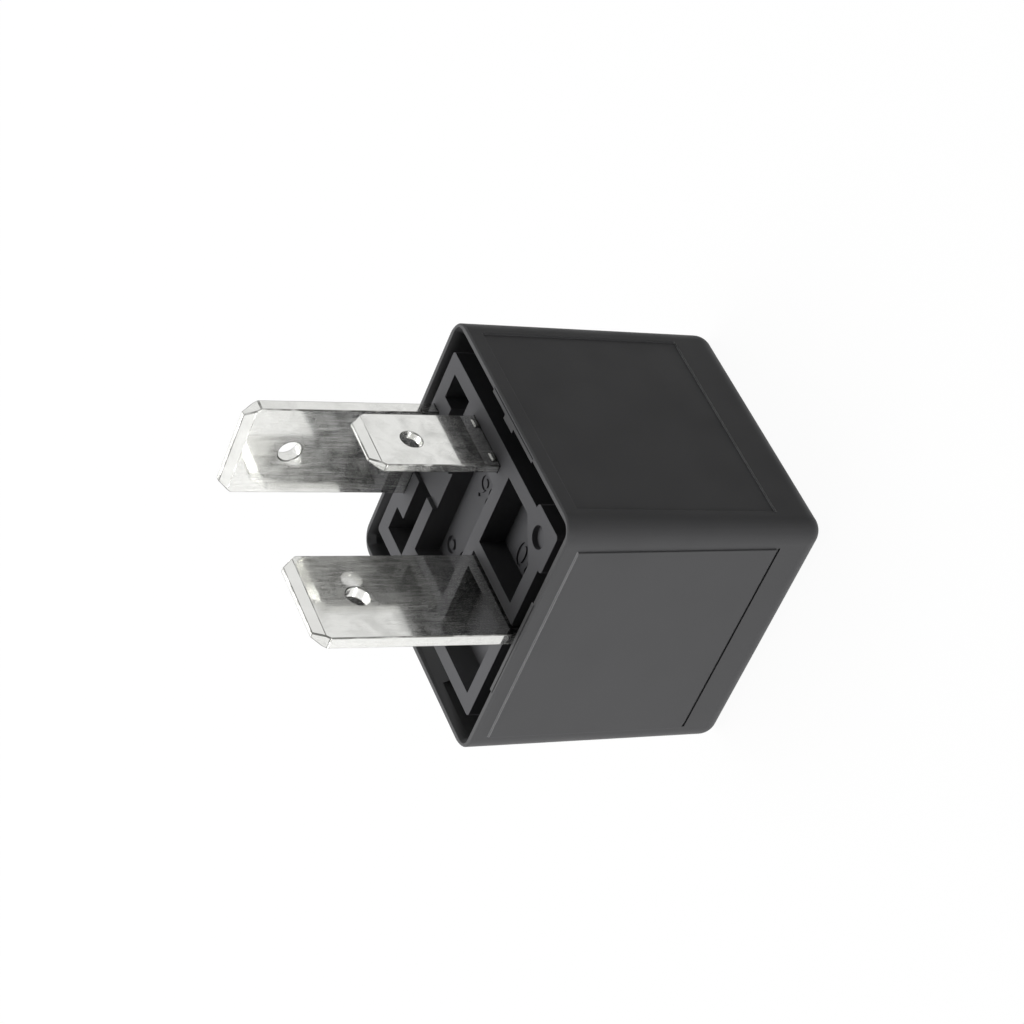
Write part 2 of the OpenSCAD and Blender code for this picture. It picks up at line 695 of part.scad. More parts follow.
// Bent leaf on the back of the yoke that lifts the armature's tail
module return_spring() {
    color("#b9bcc0") difference() {
        rotate([90, 0, 0]) linear_extrude(2 * return_half, center = true)
            polygon(strip(return_line(), return_t));
        for (z = return_rivet_z)
            translate([pivot_x - cut, 0, z]) rotate([0, 90, 0])
                cylinder(d = rivet_d + 2 * pin_fit, h = return_t + 2 * cut);
    }
}

// Rivet with a domed head at the origin and a shank of length l towards +Z
module rivet(l) {
    head_h = 0.55;
    cylinder(d = rivet_d, h = l);
    translate([0, 0, -head_h]) cylinder(d1 = 0.7 * head_d, d2 = head_d, h = head_h);
}

module armature_rivet(s)
    color("#b9bcc0") dropped() translate([rivet_x, s * rivet_y, leaf_z - leaf_t])
        rivet(leaf_t + armature_t);

module armature_rivet_1() armature_rivet(-1);

module armature_rivet_2() armature_rivet(1);

module yoke_rivet(z)
    color("#b9bcc0") translate([pivot_x + return_t, 0, z]) rotate([0, -90, 0]) rivet(return_t + yoke_t);

module yoke_rivet_1() yoke_rivet(return_rivet_z[0]);

module yoke_rivet_2() yoke_rivet(return_rivet_z[1]);

// End wire of the coil: it leaves the tape, runs out to the coil terminal's leg and is wrapped round it
module coil_lead() {
    z = plate_z0 - coil_leg_l + 0.8;
    turns = 3;
    fit = 0.02;
    wrap_x = coil_leg_w + 2 * fit;
    wrap_y = narrow_t + 2 * fit;
    reach = abs(coil_x - coil_pin_x) - lead_d / 2;
    start_y = sqrt(pow(tape_r, 2) - pow(reach, 2)) + fit;
    wrap_z = z - lead_d / 2;
    color("#a8552a") {
        translate([coil_pin_x, start_y, z]) rotate([-90, 0, 0])
            cylinder(d = lead_d, h = coil_pin_y - wrap_y / 2 - lead_d / 2 - start_y);
        translate([coil_pin_x, coil_pin_y, wrap_z])
            difference() {
                for (i = [0 : turns - 1])
                    translate([0, 0, i * 0.9 * lead_d]) linear_extrude(lead_d)
                        round_rect(wrap_x + (1.7 + 0.1 * (i % 2)) * lead_d,
                            wrap_y + (1.7 + 0.1 * (i % 2)) * lead_d, lead_d / 2);
                translate([-wrap_x / 2, -wrap_y / 2, -cut])
                    cube([wrap_x, wrap_y, 3 * turns * lead_d + 2 * cut]);
            }
    }
}

module coil_lead_1() mirror([0, 1, 0]) coil_lead();

module coil_lead_2() coil_lead();

cover();
base();
terminal_30();
terminal_87();
terminal_85();
terminal_86();
bobbin();
coil_winding();
coil_tape();
core();
yoke();
armature();
contact_spring();
moving_contact();
fixed_contact();
return_spring();
armature_rivet_1();
armature_rivet_2();
yoke_rivet_1();
yoke_rivet_2();
coil_lead_1();
coil_lead_2();
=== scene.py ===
"""Looks of the plug-in relay: bevelled mouldings, tin plated blades, the magnet inside, and a
white studio."""
import math

import bpy
from mathutils import Matrix, Vector


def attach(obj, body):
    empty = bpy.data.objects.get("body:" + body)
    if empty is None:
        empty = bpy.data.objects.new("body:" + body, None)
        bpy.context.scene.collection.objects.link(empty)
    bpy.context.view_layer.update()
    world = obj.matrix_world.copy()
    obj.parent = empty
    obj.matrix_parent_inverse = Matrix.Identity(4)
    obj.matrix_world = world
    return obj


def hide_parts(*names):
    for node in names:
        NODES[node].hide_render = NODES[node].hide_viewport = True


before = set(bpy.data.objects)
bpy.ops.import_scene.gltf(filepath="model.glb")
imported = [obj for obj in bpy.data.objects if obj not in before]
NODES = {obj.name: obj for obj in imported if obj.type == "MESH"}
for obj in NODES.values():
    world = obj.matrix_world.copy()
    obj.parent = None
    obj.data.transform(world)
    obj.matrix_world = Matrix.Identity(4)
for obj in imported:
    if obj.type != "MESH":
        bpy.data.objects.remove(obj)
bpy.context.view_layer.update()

bl_info = {
    "name": "Plug-in relay looks",
    "version": (1, 0, 0),
    "blender": (4, 5, 0),
    "location": "View3D > Sidebar > Relay",
    "description": "Dresses the packed relay with bevelled mouldings, plated blades and studio light",
    "category": "Object",
}

MM = 0.001
WHITE = (1, 1, 1, 1)
# Points closer than this are one point, and faces that turn less than this lie in one plane
DOUBLE_GAP = 0.003 * MM
PLANE_ANGLE = math.radians(0.4)
# Edges that turn more than this are rounded
SHARP_ANGLE = math.radians(35)
# A face looks straight along an axis when its normal has so much of that axis
STRAIGHT = 0.9999
# Edges that turn less than this, in degrees, are shaded smooth unless a piece asks otherwise
SMOOTH = 50


def linear(hex_colour):
    """Linear RGB of an sRGB hex value."""
    parts = [int(hex_colour[i:i + 2], 16) / 255 for i in (1, 3, 5)]
    return tuple(c / 12.92 if c <= 0.04045 else ((c + 0.055) / 1.055) ** 2.4 for c in parts)


def colour_prop(name, text, hex_colour):
    """Colour property whose default is given as sRGB hex."""
    return bpy.props.FloatVectorProperty(
        name=name, description=text, subtype="COLOR", size=3, min=0, max=1,
        default=linear(hex_colour))


def length_prop(name, text, mm):
    """Length property whose default is given in millimetres."""
    return bpy.props.FloatProperty(
        name=name, description=text, subtype="DISTANCE", unit="LENGTH", min=0, default=mm * MM)


class RelaySizes(bpy.types.PropertyGroup):
    """Sizes of the details that the looks add to the solids."""
    cover_edge: length_prop("Cover edge", "Radius of the cover's moulded edges", 0.02)
    panel_edge: length_prop("Panel edge", "Radius of the steps round the cover's panels", 0.08)
    base_edge: length_prop("Base edge", "Radius of the base's moulded edges", 0.04)
    blade_edge: length_prop("Blade edge", "Width of the worn edges of the stamped blades", 0.11)
    # The crease's bevel gets the darker edge tin, a painted dark reflection
    crease: length_prop("Crease", "Width of the crease below a coined tip, painted dark as a reflection", 0.04)
    mark_height: length_prop("Mark height", "Height of the terminal numbers", 2.4)
    mark_depth: length_prop("Mark depth", "How deep the terminal numbers are sunk", 0.15)


class RelayColours(bpy.types.PropertyGroup):
    """Colours of the finishes."""
    cover: colour_prop("Cover", "Moulded cover", "#464647")
    cover_cloud: colour_prop("Cover cloud", "Paler clouds in the cover's moulding", "#4d4d4e")
    # Paler colour for the upward faces of the panel steps: a painted highlight
    cover_painted_highlight: colour_prop("Painted step highlight", "Paler upward steps round the panels, a painted highlight", "#828283")
    base: colour_prop("Base", "Moulded base", "#4a4a4c")
    base_cloud: colour_prop("Base cloud", "Paler clouds in the base's moulding", "#535355")
    tin: colour_prop("Tin", "Bright tin plate", "#e3e3e0")
    tin_dull: colour_prop("Dull tin", "Handled and oxidised tin", "#cfcfcc")
    tin_coined: colour_prop("Coined tin", "Tin burnished by the coining of the tips", "#dededb")
    # Darker tin on the stamped edges; along the crease below each coined tip it is a painted dark
    # reflection
    edge_and_crease_reflection_tin: colour_prop("Edge tin", "Tin darkened by wear on the stamped edges, and a painted dark reflection along the crease", "#6f6f6c")


# Helpers for modelling

def deselect():
    """Leaves edit mode and deselects everything."""
    if bpy.context.object and bpy.context.object.mode != "OBJECT":
        bpy.ops.object.mode_set(mode="OBJECT")
    bpy.ops.object.select_all(action="DESELECT")


def pick(piece):
    """Makes the piece the only one selected, and active."""
    deselect()
    piece.select_set(True)
    bpy.context.view_layer.objects.active = piece


def corners(mesh, part):
    """Places of the points of an edge or a face."""
    return [mesh.vertices[i].co for i in part.vertices]


def every_edge(*ends):
    """Test for select_edges that all edges pass."""
    return True


def select_edges(piece, test, sharpness=0.0):
    """Goes into edit mode with only those edges selected that turn more than the sharpness and
    whose two ends pass the test."""
    mesh = piece.data
    pick(piece)
    bpy.ops.object.mode_set(mode="EDIT")
    bpy.ops.mesh.select_mode(type="EDGE")
    bpy.ops.mesh.select_all(action="DESELECT")
    bpy.ops.mesh.edges_select_sharp(sharpness=sharpness)
    bpy.ops.object.mode_set(mode="OBJECT")
    chosen = [edge.select and test(*corners(mesh, edge)) for edge in mesh.edges]
    # The faces and points are deselected too, or else they would select their edges again
    bpy.ops.object.mode_set(mode="EDIT")
    bpy.ops.mesh.select_all(action="DESELECT")
    bpy.ops.object.mode_set(mode="OBJECT")
    for edge, choice in zip(mesh.edges, chosen):
        edge.select = choice
    bpy.ops.object.mode_set(mode="EDIT")


def bevel(width, segments, slot=-1):
    """Bevels the selected edges and leaves edit mode. The new faces get the finish of a slot, or
    that of their neighbours when it is -1."""
    bpy.ops.mesh.bevel(
        offset=width, segments=segments, affect="EDGES", material=slot, loop_slide=False)
    bpy.ops.object.mode_set(mode="OBJECT")


def merge_flat(piece):
    """Merges the doubled points of a piece, and its faces that lie in one plane and have one
    finish."""
    pick(piece)
    bpy.ops.object.mode_set(mode="EDIT")
    bpy.ops.mesh.select_all(action="SELECT")
    bpy.ops.mesh.remove_doubles(threshold=DOUBLE_GAP)
    bpy.ops.mesh.dissolve_limited(angle_limit=PLANE_ANGLE, delimit={"MATERIAL", "SEAM"})
    bpy.ops.object.mode_set(mode="OBJECT")


def merged_copy(node, name, hole_back=0):
    """Copy of a CAD node with its loose triangles merged into whole faces. A face with a hole is
    parted by a seam through the middle of that hole, whose distance below the top is given."""
    piece = bpy.data.objects.new(name, NODES[node].data.copy())
    piece.data.name = name
    bpy.context.scene.collection.objects.link(piece)
    if hole_back:
        top = max(v.co.z for v in piece.data.vertices)
        pick(piece)
        bpy.ops.object.mode_set(mode="EDIT")
        bpy.ops.mesh.select_all(action="SELECT")
        bpy.ops.mesh.bisect(plane_co=(0, 0, top - hole_back), plane_no=(0, 0, 1))
        bpy.ops.mesh.mark_seam()
        bpy.ops.object.mode_set(mode="OBJECT")
    merge_flat(piece)
    return piece


def round_edges(piece, width, segments=2, smooth=SMOOTH, slot=-1, test=every_edge):
    """Rounds the sharp edges of a piece that pass a test. The new faces can have a finish of
    their own."""
    select_edges(piece, test, SHARP_ANGLE)
    bevel(width, segments, slot)
    # The bevel leaves slivers in the flat faces: they get those faces' finish and are merged
    for face in piece.data.polygons:
        if face.material_index == slot and max(abs(c) for c in face.normal) > STRAIGHT:
            face.material_index = 0
    merge_flat(piece)
    shade(piece, smooth)


def shade(piece, smooth):
    """Smooths the rounded edges in the shading and keeps the large faces flat."""
    pick(piece)
    bpy.ops.mesh.customdata_custom_splitnormals_clear()
    bpy.ops.object.shade_smooth_by_angle(angle=math.radians(smooth))
    flat = piece.modifiers.new("flat", "WEIGHTED_NORMAL")
    flat.keep_sharp = True
    bpy.ops.object.modifier_apply(modifier=flat.name)


def cut_out(piece, cutter):
    """Cuts the shape of another piece out of this one, and removes that piece."""
    pick(piece)
    cut = piece.modifiers.new("cut", "BOOLEAN")
    cut.operation = "DIFFERENCE"
    cut.solver = "EXACT"
    cut.object = cutter
    bpy.ops.object.modifier_apply(modifier=cut.name)
    bpy.data.objects.remove(cutter)


def give_finishes(piece, *materials):
    """Gives a piece its finishes, in the order of their slots. All its faces get the first."""
    piece.data.materials.clear()
    for material in materials:
        piece.data.materials.append(material)


def take_place(piece, node):
    """Puts the piece in a node's place on the case."""
    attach(piece, "case")
    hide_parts(node)


# Helpers for materials

def rgba(colour):
    """Colour with full cover."""
    return (*colour[:3], 1.0)


def add_node(tree, kind, settings=(), links=()):
    """Adds a node, sets its attributes and sockets, and links the sockets to the outputs given."""
    node = tree.nodes.new(kind)
    for key, value in dict(settings).items():
        if isinstance(key, str) and key not in node.inputs and hasattr(node, key):
            setattr(node, key, value)
        else:
            node.inputs[key].default_value = value
    for key, source in dict(links).items():
        tree.links.new(source, node.inputs[key])
    return node


def compute(tree, operation, *values):
    """Output of a sum with outputs and plain numbers."""
    node = add_node(tree, "ShaderNodeMath", {"operation": operation})
    for socket, value in zip(node.inputs, values):
        if isinstance(value, bpy.types.NodeSocket):
            tree.links.new(value, socket)
        else:
            socket.default_value = value
    return node.outputs[0]


def noise(tree, place, size, detail, roughness=0.5, distortion=0.0):
    """Output of a noise whose lumps are about this large."""
    settings = {
        "Scale": 1 / size, "Detail": detail, "Roughness": roughness, "Distortion": distortion}
    return add_node(tree, "ShaderNodeTexNoise", settings, {"Vector": place}).outputs["Fac"]


def spread(tree, value, low, high, to_low=0.0, to_high=1.0):
    """Output that takes a value from one range to another, and keeps to the second."""
    settings = {"From Min": low, "From Max": high, "To Min": to_low, "To Max": to_high}
    return add_node(tree, "ShaderNodeMapRange", settings, {"Value": value}).outputs["Result"]


def blend(tree, share, first, second):
    """Output that goes from one colour to another with the share."""
    settings = {"data_type": "RGBA", 6: rgba(first), 7: rgba(second)}
    return add_node(tree, "ShaderNodeMix", settings, {0: share}).outputs[2]


def raise_bumps(tree, shader, height, depth):
    """Bends the shader's light over faint bumps of this depth."""
    bump = add_node(tree, "ShaderNodeBump", {"Strength": 0.12, "Distance": depth},
                    {"Height": height})
    tree.links.new(bump.outputs["Normal"], shader.inputs["Normal"])


def new_material(name):
    """Material with a Principled shader and its output, and the object's own coordinates."""
    material = bpy.data.materials.new(name)
    material.use_nodes = True
    tree = material.node_tree
    tree.nodes.clear()
    shader = add_node(tree, "ShaderNodeBsdfPrincipled")
    add_node(tree, "ShaderNodeOutputMaterial", links={"Surface": shader.outputs["BSDF"]})
    place = add_node(tree, "ShaderNodeTexCoord").outputs["Object"]
    return material, tree, shader, place


def seen_rays(tree):
    """Output that is 1 for the camera and for what shows in metal or glass, and 0 for the light
    itself, also where metal throws it on."""
    rays = add_node(tree, "ShaderNodeLightPath").outputs
    seen = compute(tree, "MAXIMUM", rays["Is Camera Ray"], rays["Is Glossy Ray"])
    seen = compute(tree, "MAXIMUM", seen, rays["Is Transmission Ray"])
    direct = compute(tree, "LESS_THAN", rays["Diffuse Depth"], 0.5)
    return compute(tree, "MULTIPLY", seen, direct)


def moulded_plastic(name, colour, cloud, rough_low, rough_high, grain_mm, specular=0.2):
    """Moulded thermoplastic: a satin skin with faint clouds from the melt's flow and a fine
    eroded grain."""
    material, tree, shader, place = new_material(name)
    # Clouds of about 4 mm, as the filled melt leaves them
    clouds = noise(tree, place, 4 * MM, detail=4.0, roughness=0.55)
    tree.links.new(blend(tree, clouds, colour, cloud), shader.inputs["Base Color"])
    gloss = spread(tree, clouds, 0.3, 0.7, rough_low, rough_high)
    tree.links.new(gloss, shader.inputs["Roughness"])
    # The eroded grain is finer than this in the mould; it is drawn coarse enough to show
    raise_bumps(tree, shader, noise(tree, place, grain_mm * MM, detail=2.0), 0.02 * MM)
    shader.inputs["IOR"].default_value = 1.5
    shader.inputs["Specular IOR Level"].default_value = specular
    return material


def tin_plate(name, bright, dull, rough_low, rough_high):
    """Bright tin plate on rolled strip: a near mirror with a thin haze, which lies in clouds where
    the plate was handled, in streaks along the roll lines, and towards the tip where sockets
    scuff it."""
    material, tree, shader, place = new_material(name)
    shader.inputs["Metallic"].default_value = 1.0
    # Smudges of about 2 mm where the plate was handled
    smudge = noise(tree, place, 2 * MM, detail=5.0, roughness=0.6, distortion=0.6)
    tone = spread(tree, smudge, 0.42, 0.72)
    tree.links.new(blend(tree, tone, bright, dull), shader.inputs["Base Color"])
    # Roll lines, drawn 0.12 mm apart so that they show, and 2.5 mm long
    across, along = 1 / (0.12 * MM), 1 / (2.5 * MM)
    strip = add_node(tree, "ShaderNodeMapping", {"Scale": (across, across, along)},
                     {"Vector": place}).outputs["Vector"]
    rolled = noise(tree, strip, 1.0, detail=3.0, roughness=0.6)
    raise_bumps(tree, shader, rolled, 0.01 * MM)
    # Pores of the plate, 0.05 mm: they are too fine to tell apart, and together they make the haze
    pores = noise(tree, place, 0.05 * MM, detail=0.0)
    smudge_share, rolled_share, scuff_share = 0.35, 0.3, 0.12
    haze = compute(tree, "MULTIPLY_ADD", smudge, smudge_share, pores)
    haze = compute(tree, "MULTIPLY_ADD", rolled, rolled_share, haze)
    # Scuffs begin a little above the base, at 26.5 mm, and are full 10 mm higher up
    height = add_node(tree, "ShaderNodeSeparateXYZ", (), {"Vector": place}).outputs["Z"]
    scuff = spread(tree, height, 26.5 * MM, 36.5 * MM, 0.0, scuff_share)
    haze = compute(tree, "ADD", haze, scuff)
    # The sum is 0.83 on average at the base and 0.95 at the tip, so this range makes a tenth of
    # the base hazy and a quarter of the tip
    rough = spread(tree, haze, 0.94, 1.05, rough_low, rough_high)
    tree.links.new(rough, shader.inputs["Roughness"])
    return material


def plain_metal(name, hex_colour, roughness, cloud_mm):
    """Small metal part inside: rolled or plated, with fine clouds in its gloss."""
    material, tree, shader, place = new_material(name)
    shader.inputs["Base Color"].default_value = rgba(linear(hex_colour))
    shader.inputs["Metallic"].default_value = 1.0
    clouds = noise(tree, place, cloud_mm * MM, detail=4.0)
    rough = spread(tree, clouds, 0.3, 0.7, roughness - 0.08, roughness + 0.1)
    tree.links.new(rough, shader.inputs["Roughness"])
    return material


class RELAY_OT_cover(bpy.types.Operator):
    """Moulded cover with rounded edges"""
    bl_idname = "relay.cover"
    bl_label = "Cover"

    # The steps round the panels lie outside the skin along one axis, within the reach along the
    # other, and between the foot and the top. The hooks lie inside the skin, above their foot
    skin = 12.7 * MM
    panel_reach = 11.1 * MM
    panel_foot = 4.5 * MM
    panel_top = 24.3 * MM
    hook_foot = 21.3 * MM
    # Middle and size of the groove under a raised panel
    groove_out = 13.1 * MM
    groove_level = 4.33 * MM
    groove_size = (0.5 * MM, 21.7 * MM, 0.26 * MM)
    # Faces of a step whose normal has more than this of the Z axis get a painted highlight, a paler
    # copy of the moulding
    painted_highlight_lean = 0.3
    smooth = 24

    def on_panel(self, *points):
        """Whether an edge or a face lies in the step round a panel."""
        return any(all(abs(p[out]) > self.skin and abs(p[1 - out]) < self.panel_reach
                       and self.panel_foot < p.z < self.panel_top for p in points)
                   for out in (0, 1))

    def off_hook(self, *ends):
        """Whether an edge lies off the hooks inside the rim, whose small edges stay sharp."""
        return not all(max(abs(p.x), abs(p.y)) < self.skin and p.z > self.hook_foot for p in ends)

    def execute(self, context):
        sizes, colours = context.scene.relay_sizes, context.scene.relay_colours
        piece = merged_copy("cover", "cover_moulding")
        select_edges(piece, self.on_panel)
        bevel(sizes.panel_edge, segments=4)
        # A fine groove under the two raised panels, where the mould's inserts end
        for side in (-1, 1):
            deselect()
            bpy.ops.mesh.primitive_cube_add(
                size=1, location=(side * self.groove_out, 0, self.groove_level),
                scale=self.groove_size)
            cut_out(piece, context.object)
        round_edges(piece, sizes.cover_edge, smooth=self.smooth, test=self.off_hook)
        satin = {"rough_low": 0.42, "rough_high": 0.55, "grain_mm": 0.16, "specular": 0.13}
        moulded = moulded_plastic(
            "glass_filled_pbt_cover", colours.cover, colours.cover_cloud, **satin)
        # A paler copy of the moulding paints a highlight on the upward faces of the panel steps
        lit_step_finish = moulded_plastic(
            "pbt_step_painted_highlight", colours.cover_painted_highlight, colours.cover_painted_highlight, **satin)
        give_finishes(piece, moulded, lit_step_finish)
        # Painted highlight on the upward faces of the steps round the panels
        for face in piece.data.polygons:
            if face.normal.z > self.painted_highlight_lean and self.on_panel(*corners(piece.data, face)):
                face.material_index = 1
        take_place(piece, "cover")
        return {"FINISHED"}


class RELAY_OT_base(bpy.types.Operator):
    """Moulded base with rounded ribs"""
    bl_idname = "relay.base"
    bl_label = "Base"

    def execute(self, context):
        sizes, colours = context.scene.relay_sizes, context.scene.relay_colours
        piece = merged_copy("base", "base_moulding")
        round_edges(piece, sizes.base_edge)
        give_finishes(piece, moulded_plastic(
            "glass_filled_pbt_base", colours.base, colours.base_cloud,
            rough_low=0.45, rough_high=0.6, grain_mm=0.14, specular=0.08))
        take_place(piece, "base")
        return {"FINISHED"}


class RELAY_OT_marks(bpy.types.Operator):
    """Terminal numbers sunk in the floors of the base"""
    bl_idname = "relay.marks"
    bl_label = "Terminal numbers"

    # Number, and the middle of its place on the base in millimetres
    places = (("30", 6.3, 3.1, 22.8), ("86", -2.4, 2.6, 22.8), ("85", -0.9, -4.9, 22.8))
    # The font's size for digits that are 1 high
    font_size = 1.4
    point_gap = 0.001 * MM

    def execute(self, context):
        sizes = context.scene.relay_sizes
        base = bpy.data.objects["base_moulding"]
        for number, x, y, z in self.places:
            deselect()
            bpy.ops.object.text_add()
            piece = context.object
            words = piece.data
            words.body = number
            words.align_x = "CENTER"
            words.align_y = "CENTER"
            words.size = sizes.mark_height * self.font_size
            words.extrude = sizes.mark_depth
            bpy.ops.object.convert(target="MESH")
            # The numbers are read from the side of the keying block
            bpy.ops.transform.rotate(value=math.pi, orient_axis="Z", center_override=(0, 0, 0))
            bpy.ops.transform.translate(value=(x * MM, y * MM, z * MM))
            bpy.ops.object.transform_apply(location=True, rotation=True, scale=True)
            bpy.ops.object.mode_set(mode="EDIT")
            bpy.ops.mesh.select_all(action="SELECT")
            bpy.ops.mesh.remove_doubles(threshold=self.point_gap)
            bpy.ops.mesh.normals_make_consistent(inside=False)
            cut_out(base, piece)
        shade(base, SMOOTH)
        return {"FINISHED"}


class RELAY_OT_blades(bpy.types.Operator):
    """Stamped blades with worn edges"""
    bl_idname = "relay.blades"
    bl_label = "Blades"

    # Number, the axis that its face looks along, and the distance of its hole from the tip in
    # millimetres
    kinds = (("30", "y", 5.4), ("87", "x", 5.4), ("85", "y", 4.7), ("86", "y", 4.7))
    # The second slot, the darker edge tin, also paints a dark reflection along the crease
    worn_slot, coined_slot = 1, 2
    # The lead-in faces lie this near the tip. Then the least and the most that their normals have
    # of the axis that the blade's face looks along
    tip_length = 2.5 * MM
    least_facing, most_facing = 0.8, 0.98
    # Points this near a level lie on it
    level_gap = 0.01 * MM
    smooth = 20

    def coin_tip(self, mesh, axis):
        """Gives the lead-in faces, which lean a little towards the tip, their finish, and returns
        the level of their foot."""
        tip = max(v.co.z for v in mesh.vertices)
        lead_in = [face for face in mesh.polygons if tip - face.center.z < self.tip_length
                   and self.least_facing < abs(getattr(face.normal, axis)) < self.most_facing]
        for face in lead_in:
            face.material_index = self.coined_slot
        return min(point.z for face in lead_in for point in corners(mesh, face))

    def execute(self, context):
        sizes, colours = context.scene.relay_sizes, context.scene.relay_colours
        tin = tin_plate("bright_tin_on_copper", colours.tin, colours.tin_dull, 0.06, 0.46)
        # Darker edge tin, which along the crease is a painted dark reflection
        worn = tin_plate("edge_wear_and_painted_crease_reflection_tin", colours.edge_and_crease_reflection_tin, colours.tin_dull, 0.25, 0.4)
        coined = tin_plate("coined_tin_tip", colours.tin_coined, colours.tin, 0.14, 0.24)
        for number, axis, hole_back in self.kinds:
            piece = merged_copy("terminal_" + number, "blade_" + number, hole_back * MM)
            give_finishes(piece, tin, worn, coined)
            foot = self.coin_tip(piece.data, axis)
            # A crease runs along the foot of the lead-in faces, in the darker edge tin: a painted
            # dark reflection
            select_edges(piece, lambda *ends, level=foot: all(
                abs(p.z - level) < self.level_gap for p in ends))
            bevel(sizes.crease, segments=1, slot=self.worn_slot)
            round_edges(piece, sizes.blade_edge, segments=5, smooth=self.smooth,
                        slot=self.worn_slot)
            take_place(piece, "terminal_" + number)
        return {"FINISHED"}


class RELAY_OT_magnet(bpy.types.Operator):
    """Finishes of the coil, the iron and the springs inside"""
    bl_idname = "relay.magnet"
    bl_label = "Magnet"

    # Finish, colour, roughness, size of its clouds in millimetres, and the nodes that have it
    metals = (
        ("zinc_plated_iron", "#b4b6b8", 0.38, 1.5, ("core", "yoke", "armature")),
        ("rolled_spring_steel", "#c6c8ca", 0.3, 0.8,
         ("return_spring", "armature_rivet_1", "armature_rivet_2", "yoke_rivet_1",
          "yoke_rivet_2")),
        ("rolled_bronze", "#cf9d5e", 0.3, 0.8, ("contact_spring",)),
        ("silver_alloy", "#e4e4e0", 0.25, 0.6, ("moving_contact", "fixed_contact")),
        ("enamelled_copper", "#b5653a", 0.28, 0.5, ("coil_winding", "coil_lead_1", "coil_lead_2")),
    )
    # Finish, colour, colour of its clouds, least and most roughness, grain in millimetres, and
    # the node that has it
    plastics = (
        ("natural_nylon", "#e6dfcd", "#efe9d8", 0.4, 0.5, 0.2, "bobbin"),
        ("polyester_tape", "#c9a227", "#cfac3a", 0.2, 0.3, 0.3, "coil_tape"),
    )

    def execute(self, context):
        for name, colour, roughness, cloud_mm, nodes in self.metals:
            metal = plain_metal(name, colour, roughness, cloud_mm)
            for node in nodes:
                give_finishes(NODES[node], metal)
        for name, colour, cloud, rough_low, rough_high, grain_mm, node in self.plastics:
            give_finishes(NODES[node], moulded_plastic(
                name, linear(colour), linear(cloud), rough_low, rough_high, grain_mm))
        return {"FINISHED"}


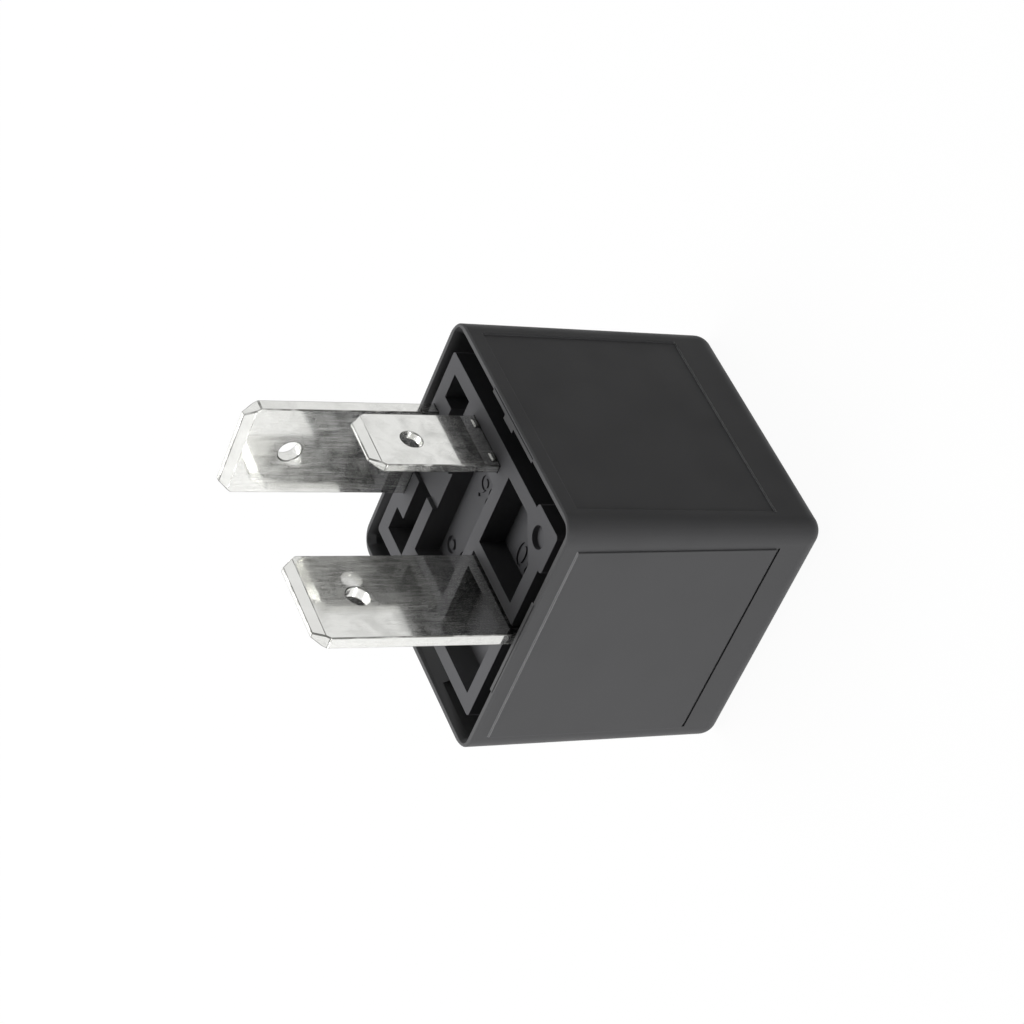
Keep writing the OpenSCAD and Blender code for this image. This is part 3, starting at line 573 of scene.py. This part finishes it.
class RELAY_OT_stage(bpy.types.Operator):
    """White floor, soft lamps and the camera"""
    bl_idname = "relay.stage"
    bl_label = "Stage"

    # Camera place in millimetres, its aim, and the side that is up in the picture: the camera is
    # turned a quarter so that the blades point to the left
    eye = (164.647, 158.147, 149.002)
    forward = (-0.633486, -0.598164, -0.490811)
    up = (-0.687126, 0.726537, 0.001419)
    view_angle = 19.023
    # Nearest and farthest distance that the camera sees, in metres
    clip = (0.01, 20)
    # Floor in metres. It lies a hair below the relay, so that the two don't share a plane
    floor_size = 6
    floor_drop = 0.0001
    # How far the paper is burnt out to white, and how brightly the room lights the relay
    burn = 0.96
    fill = 0.01
    # Lamps: direction, distance, width and height in metres, height above the floor of the point
    # that they aim at, and how brightly they light a white card that faces them
    lamps = (
        ("softbox", (-0.25, -0.3, 0.92), 0.8, 0.75, 0.75, 0.02, 1.6),
        ("floor_strip", (0.97, -0.15, 0.0), 0.3, 0.6, 0.022, 0.0115, 1.35),
    )

    def camera(self, scene):
        """Puts up the camera."""
        lens = bpy.data.cameras.new("camera")
        lens.sensor_fit = "HORIZONTAL"
        lens.angle = math.radians(self.view_angle)
        lens.clip_start, lens.clip_end = self.clip
        camera = bpy.data.objects.new("camera", lens)
        scene.collection.objects.link(camera)
        back = -Vector(self.forward).normalized()
        right = Vector(self.up).cross(back).normalized()
        turn = Matrix((right, back.cross(right), back)).transposed().to_4x4()
        camera.matrix_world = Matrix.Translation(Vector(self.eye) * MM) @ turn
        scene.camera = camera

    def paper(self):
        """Material of the floor: the light sees grey paper, and the camera and the metal see it
        almost burnt out to white."""
        material = bpy.data.materials.new("matt_paper")
        material.use_nodes = True
        tree = material.node_tree
        tree.nodes.clear()
        grey = add_node(tree, "ShaderNodeBsdfDiffuse", {"Color": rgba(linear("#808080"))})
        pale = add_node(tree, "ShaderNodeBsdfDiffuse", {"Color": rgba(linear("#eeeeee"))})
        white = add_node(tree, "ShaderNodeEmission", {"Color": WHITE, "Strength": 1.0})
        burnt = add_node(tree, "ShaderNodeMixShader", {0: self.burn},
                         {1: pale.outputs[0], 2: white.outputs[0]})
        both = add_node(tree, "ShaderNodeMixShader", (),
                        {0: seen_rays(tree), 1: grey.outputs[0], 2: burnt.outputs[0]})
        add_node(tree, "ShaderNodeOutputMaterial", (), {"Surface": both.outputs[0]})
        return material

    def floor(self):
        """Lays the floor."""
        deselect()
        bpy.ops.mesh.primitive_plane_add(size=self.floor_size, location=(0, 0, -self.floor_drop))
        floor = bpy.context.object
        floor.name = "studio_floor"
        bpy.ops.object.transform_apply(location=True, rotation=True, scale=True)
        give_finishes(floor, self.paper())

    def world(self, scene):
        """Makes the room white for the camera and the metal, and almost dark as a light."""
        world = bpy.data.worlds.new("studio")
        scene.world = world
        world.use_nodes = True
        tree = world.node_tree
        tree.nodes.clear()
        dim = add_node(tree, "ShaderNodeBackground", {"Color": WHITE, "Strength": self.fill})
        white = add_node(tree, "ShaderNodeBackground", {"Color": WHITE, "Strength": 1.0})
        both = add_node(tree, "ShaderNodeMixShader", (),
                        {0: seen_rays(tree), 1: dim.outputs[0], 2: white.outputs[0]})
        add_node(tree, "ShaderNodeOutputWorld", (), {"Surface": both.outputs[0]})

    def light(self, scene, name, direction, distance, width, height, aim, level):
        """Hangs up one lamp."""
        lamp = bpy.data.lights.new(name, "AREA")
        lamp.shape = "RECTANGLE"
        lamp.size = width
        lamp.size_y = height
        # A white card that faces a lamp looks as bright as the lamp's power over (pi d) squared
        lamp.energy = level * math.pi ** 2 * distance ** 2
        thing = bpy.data.objects.new(name, lamp)
        scene.collection.objects.link(thing)
        way = Vector(direction).normalized()
        thing.location = Vector((0, 0, aim)) + way * distance
        thing.rotation_euler = way.to_track_quat("Z", "Y").to_euler()

    def execute(self, context):
        scene = context.scene
        scene.view_settings.view_transform = "Standard"
        self.camera(scene)
        self.floor()
        self.world(scene)
        for lamp in self.lamps:
            self.light(scene, *lamp)
        return {"FINISHED"}


class RELAY_PT_build(bpy.types.Panel):
    """Lists the steps that dress the relay"""
    bl_label = "Relay"
    bl_idname = "RELAY_PT_build"
    bl_space_type = "VIEW_3D"
    bl_region_type = "UI"
    bl_category = "Relay"

    def draw(self, context):
        for step in STEPS:
            self.layout.operator(step.bl_idname)
        for group in (context.scene.relay_sizes, context.scene.relay_colours):
            for key in group.bl_rna.properties.keys():
                if key not in ("rna_type", "name"):
                    self.layout.prop(group, key)


STEPS = (RELAY_OT_cover, RELAY_OT_base, RELAY_OT_marks, RELAY_OT_blades, RELAY_OT_magnet,
         RELAY_OT_stage)
CLASSES = (RelaySizes, RelayColours, *STEPS, RELAY_PT_build)


def register():
    for cls in CLASSES:
        bpy.utils.register_class(cls)
    bpy.types.Scene.relay_sizes = bpy.props.PointerProperty(type=RelaySizes)
    bpy.types.Scene.relay_colours = bpy.props.PointerProperty(type=RelayColours)


def unregister():
    del bpy.types.Scene.relay_colours
    del bpy.types.Scene.relay_sizes
    for cls in reversed(CLASSES):
        bpy.utils.unregister_class(cls)


def main():
    register()
    bpy.ops.relay.cover()
    bpy.ops.relay.base()
    bpy.ops.relay.marks()
    bpy.ops.relay.blades()
    bpy.ops.relay.magnet()
    bpy.ops.relay.stage()


if __name__ == "__main__":
    main()
